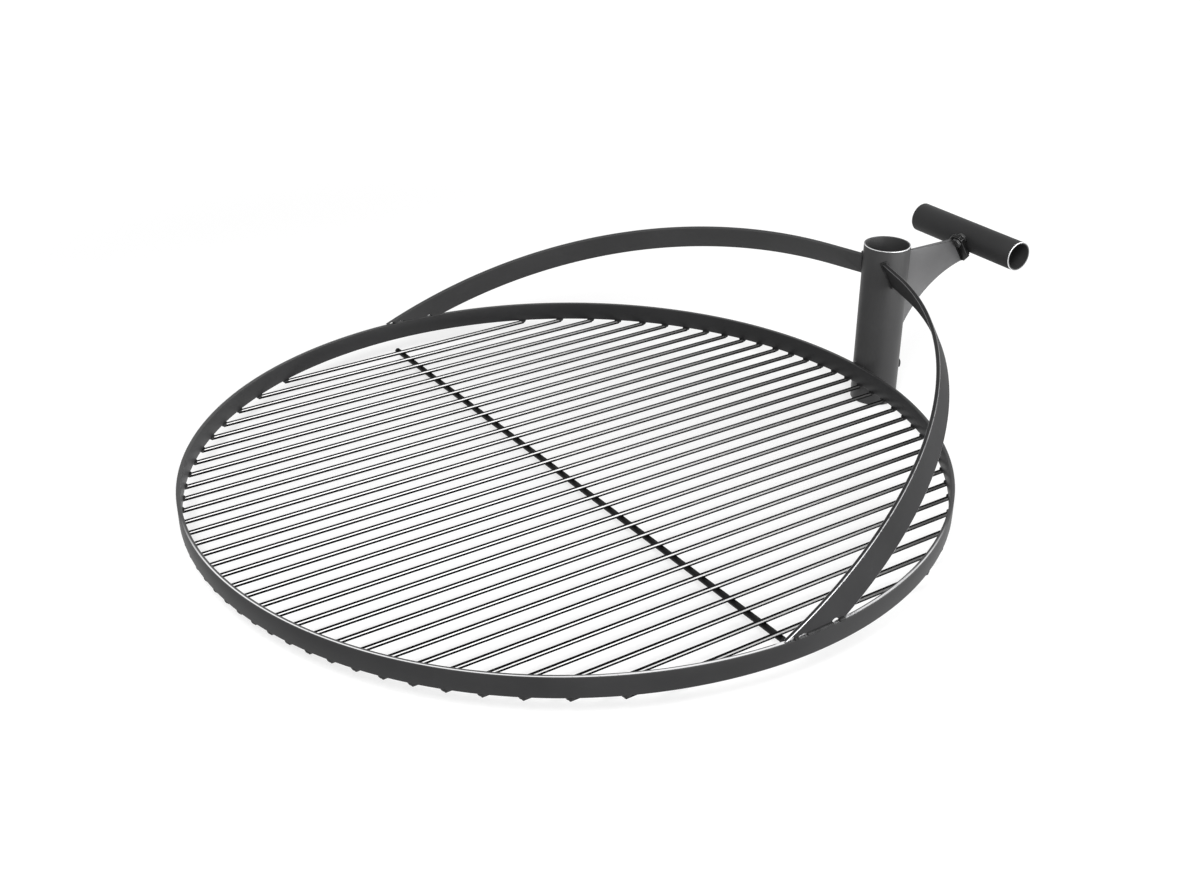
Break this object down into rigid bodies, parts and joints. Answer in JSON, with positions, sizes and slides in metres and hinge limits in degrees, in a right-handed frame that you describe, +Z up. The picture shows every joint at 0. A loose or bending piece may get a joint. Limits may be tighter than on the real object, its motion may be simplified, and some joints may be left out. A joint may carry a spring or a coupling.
{
  "type": "swing-out fire pit grill grate",
  "caption": "Round grill grate for a fire pit: a steel ring with a row of rods, two rolled arms, a sleeve that slides and swivels on a post, and a T handle.",
  "frame": {"origin": "on the axis of the post sleeve, at the sleeve's lower end", "axes": "+Z up along the sleeve's axis, +Y from the middle of the grate to the handle, +X along the cross bar to the right of someone who faces +Y"},
  "size_m": [0.7524, 0.9131, 0.182],
  "materials": {
    "charcoal_steel": "satin heat-proof charcoal coating",
    "bright_rod": "drawn bright steel wire",
    "black_bar": "satin black",
    "dark_fastener": "blackened steel",
    "weld_seam": "coated weld bead"
  },
  "bodies": {
    "grate": {"rim_ring": "charcoal_steel", "cross_bar": "black_bar", "arm_left": "charcoal_steel", "arm_right": "charcoal_steel", "post_sleeve": "charcoal_steel", "handle_gusset": "charcoal_steel", "handle_flange": "charcoal_steel", "handle_plate": "charcoal_steel", "handle_tube": "charcoal_steel", "handle_bolt": "dark_fastener", "handle_nut": "dark_fastener", "lock_nut": "charcoal_steel", "sleeve_rim_weld": "weld_seam", "arm_foot_welds": "weld_seam", "arm_sleeve_welds": "weld_seam", "gusset_welds": "weld_seam", "flange_welds": "weld_seam", "handle_welds": "weld_seam", "lock_nut_weld": "weld_seam", "grill_rod_01": "bright_rod", "grill_rod_02": "bright_rod", "grill_rod_03": "bright_rod", "grill_rod_04": "bright_rod", "grill_rod_05": "bright_rod", "grill_rod_06": "bright_rod", "grill_rod_07": "bright_rod", "grill_rod_08": "bright_rod", "grill_rod_09": "bright_rod", "grill_rod_10": "bright_rod", "grill_rod_11": "bright_rod", "grill_rod_12": "bright_rod", "grill_rod_13": "bright_rod", "grill_rod_14": "bright_rod", "grill_rod_15": "bright_rod", "grill_rod_16": "bright_rod", "grill_rod_17": "bright_rod", "grill_rod_18": "bright_rod", "grill_rod_19": "bright_rod", "grill_rod_20": "bright_rod", "grill_rod_21": "bright_rod", "grill_rod_22": "bright_rod", "grill_rod_23": "bright_rod", "grill_rod_24": "bright_rod", "grill_rod_25": "bright_rod", "grill_rod_26": "bright_rod", "grill_rod_27": "bright_rod", "grill_rod_28": "bright_rod", "grill_rod_29": "bright_rod", "grill_rod_30": "bright_rod", "grill_rod_31": "bright_rod", "grill_rod_32": "bright_rod", "grill_rod_33": "bright_rod"},
    "lock_screw_body": {"lock_screw": "dark_fastener"}
  },
  "joints": [
    {"name": "lock_screw_travel", "type": "slide", "parent": "grate", "child": "lock_screw_body", "axis": [0, -1, 0], "range_m": [-0.004, 0.001]}
  ]
}
